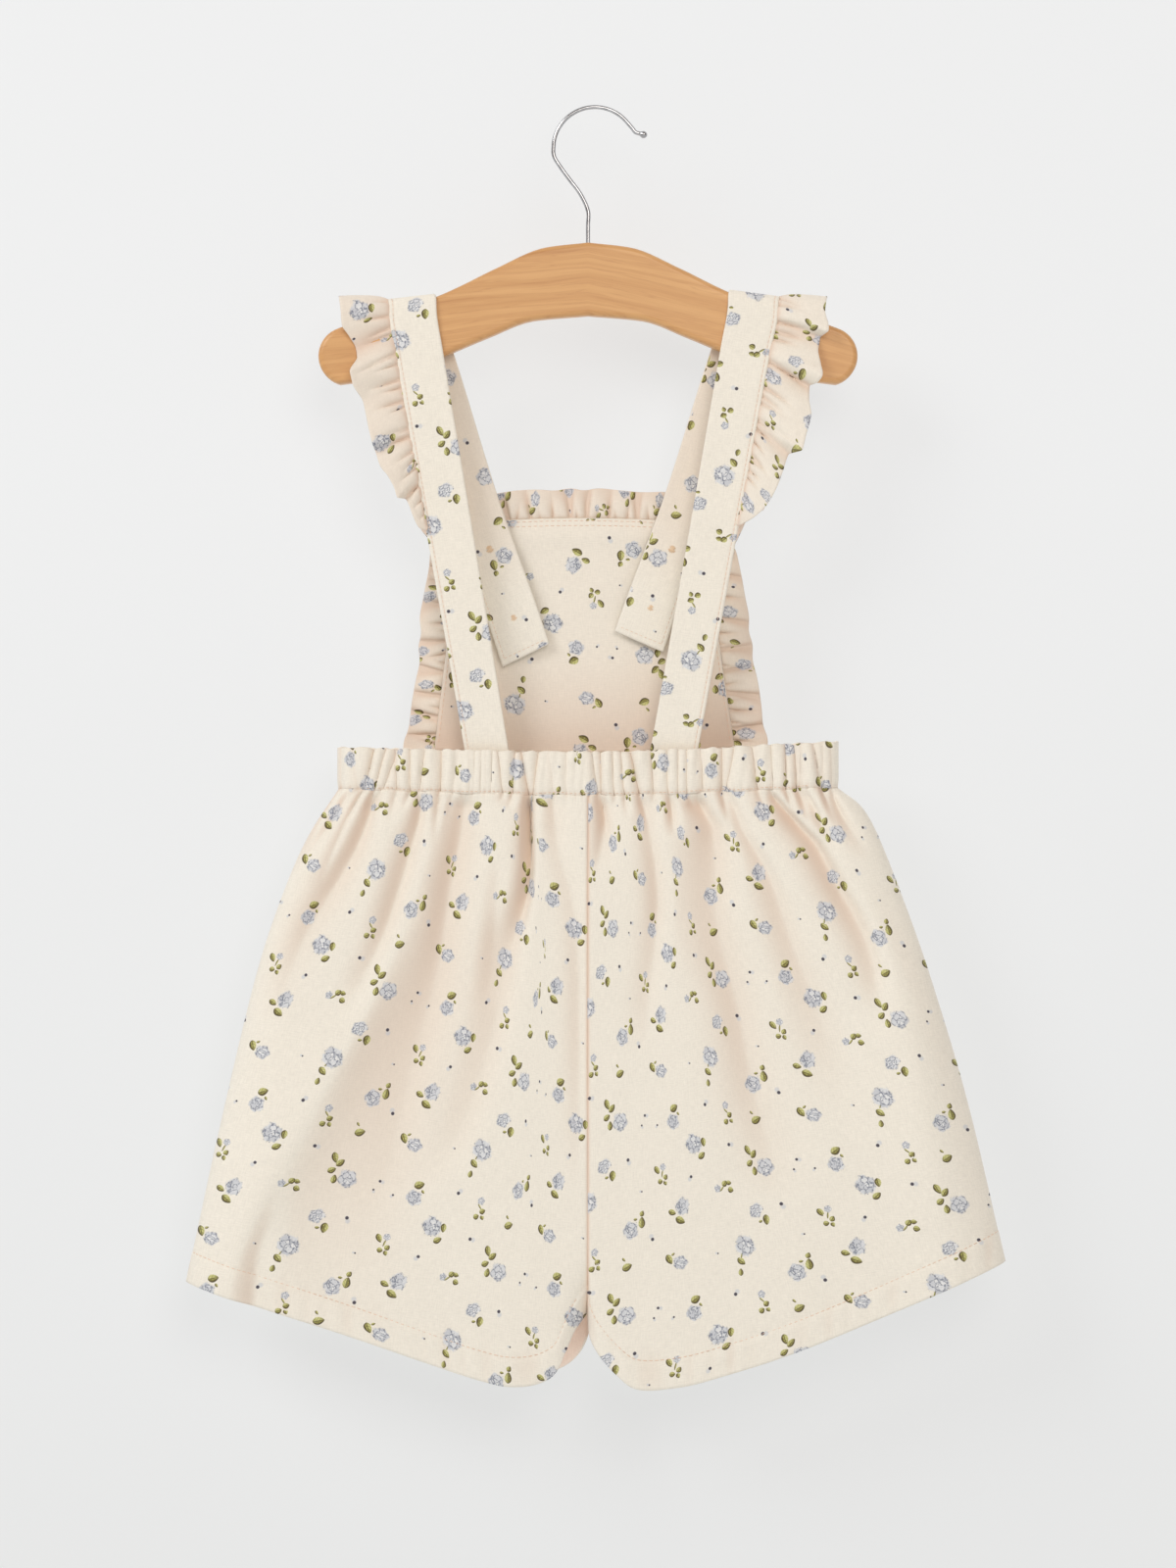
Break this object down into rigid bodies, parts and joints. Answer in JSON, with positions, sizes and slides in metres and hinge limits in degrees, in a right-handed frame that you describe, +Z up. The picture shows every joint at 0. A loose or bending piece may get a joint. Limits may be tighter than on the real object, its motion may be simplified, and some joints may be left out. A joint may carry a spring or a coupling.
{
  "type": "child's wide-leg short jumpsuit on a wooden hanger",
  "caption": "Toddler's short wide-leg jumpsuit with a bib, two straps and gathered ruffles, hanging flat from a wooden hanger with a round wire hook.",
  "frame": {"origin": "the inside of the hook's top, where the rail bears", "axes": "+Z up, +Y from the garment's back to its bib, +X to the garment's right as seen from behind"},
  "size_m": [0.4252, 0.0332, 0.6653],
  "materials": {
    "printed_cotton": "matt cotton twill, cream with a small rose print",
    "button_shell": "satin",
    "hanger_wood": "satin varnish",
    "hook_chrome": "polished"
  },
  "bodies": {
    "root": {"back_waistband": "printed_cotton", "front_waistband": "printed_cotton", "back_leg_left": "printed_cotton", "back_leg_right": "printed_cotton", "front_leg_left": "printed_cotton", "front_leg_right": "printed_cotton", "bib": "printed_cotton", "bib_top_ruffle": "printed_cotton", "bib_side_ruffle_left": "printed_cotton", "bib_side_ruffle_right": "printed_cotton", "strap_left": "printed_cotton", "strap_right": "printed_cotton", "strap_ruffle_left": "printed_cotton", "strap_ruffle_right": "printed_cotton", "button_fastened_left": "button_shell", "button_fastened_right": "button_shell", "button_spare_left": "button_shell", "button_spare_right": "button_shell", "hanger_wood": "hanger_wood", "hanger_hook": "hook_chrome"}
  },
  "joints": []
}
